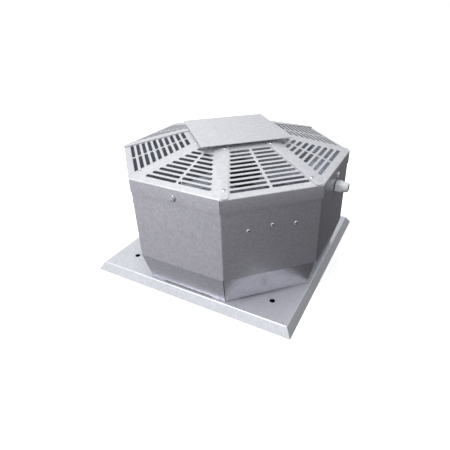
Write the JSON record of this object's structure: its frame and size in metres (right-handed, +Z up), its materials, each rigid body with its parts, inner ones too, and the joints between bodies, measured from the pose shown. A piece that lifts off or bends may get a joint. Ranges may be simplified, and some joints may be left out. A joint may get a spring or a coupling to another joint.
{
  "type": "roof extract fan",
  "caption": "Roof extract fan: folded square base, octagonal galvanised casing, slotted octagonal discharge cap with a raised square cover plate, motor and impeller inside.",
  "frame": {"origin": "centre of the air inlet on the underside of the base plate, at the centre of the four fixing holes", "axes": "+Z up along the fan's axis, front towards -Y, the cable gland on the +X wall"},
  "size_m": [0.4774, 0.4568, 0.2884],
  "materials": {
    "galvanised_cap": "galvanised sheet, matt with a fine speckle",
    "galvanised_casing": "galvanised sheet, matt with a fine speckle",
    "galvanised_base": "galvanised sheet, satin",
    "rivet_steel": "bright set rivets",
    "zinc_screw": "zinc plated",
    "galvanised_impeller": "galvanised sheet, satin",
    "cast_motor": "black painted casting",
    "lamination": "stacked electrical sheet",
    "bearing_steel": "ground steel",
    "copper_winding": "varnished copper wire",
    "black_plastic": "moulded, fine texture",
    "pale_plastic": "moulded",
    "gland_plastic": "moulded light grey polyamide",
    "lead_sheath": "flexible sheath",
    "black_rubber": "moulded rubber"
  },
  "bodies": {
    "housing": {"arm_rivets": "rivet_steel", "base_plate": "galvanised_base", "cap_screws": "zinc_screw", "cap_weld_nuts": "zinc_screw", "casing_front": "galvanised_casing", "casing_rear": "galvanised_casing", "gland_body": "gland_plastic", "gland_dome_nut": "gland_plastic", "gland_locknut": "gland_plastic", "gland_seal": "black_rubber", "gland_washer": "black_rubber", "grille_back": "galvanised_cap", "grille_back_left": "galvanised_cap", "grille_back_right": "galvanised_cap", "grille_front": "galvanised_cap", "grille_front_left": "galvanised_cap", "grille_front_right": "galvanised_cap", "grille_left": "galvanised_cap", "grille_right": "galvanised_cap", "grille_rivets": "rivet_steel", "inlet_ring": "galvanised_base", "lower_bearing_outer": "bearing_steel", "motor_lead": "lead_sheath", "motor_plate": "galvanised_base", "run_capacitor": "pale_plastic", "stator_core": "lamination", "stator_flange": "cast_motor", "stator_windings": "copper_winding", "support_arm_back_left": "galvanised_base", "support_arm_back_right": "galvanised_base", "support_arm_front_left": "galvanised_base", "support_arm_front_right": "galvanised_base", "terminal_block": "pale_plastic", "terminal_box": "black_plastic", "terminal_box_lid": "black_plastic", "top_plate": "galvanised_cap", "top_plate_bridge": "galvanised_base", "top_plate_rivets": "rivet_steel", "upper_bearing_outer": "bearing_steel"},
    "rotor": {"rotor_bell": "cast_motor", "rotor_core": "lamination", "motor_shaft": "bearing_steel", "upper_bearing_inner": "bearing_steel", "lower_bearing_inner": "bearing_steel", "impeller_shroud": "galvanised_impeller", "impeller_back_plate": "galvanised_impeller", "impeller_blade_1": "galvanised_impeller", "impeller_blade_2": "galvanised_impeller", "impeller_blade_3": "galvanised_impeller", "impeller_blade_4": "galvanised_impeller", "impeller_blade_5": "galvanised_impeller", "impeller_blade_6": "galvanised_impeller", "impeller_blade_7": "galvanised_impeller"}
  },
  "joints": [
    {"name": "impeller_spin", "type": "hinge", "parent": "housing", "child": "rotor", "pos_m": [0, 0, 0.1], "axis": [0, 0, 1], "continuous": true}
  ]
}
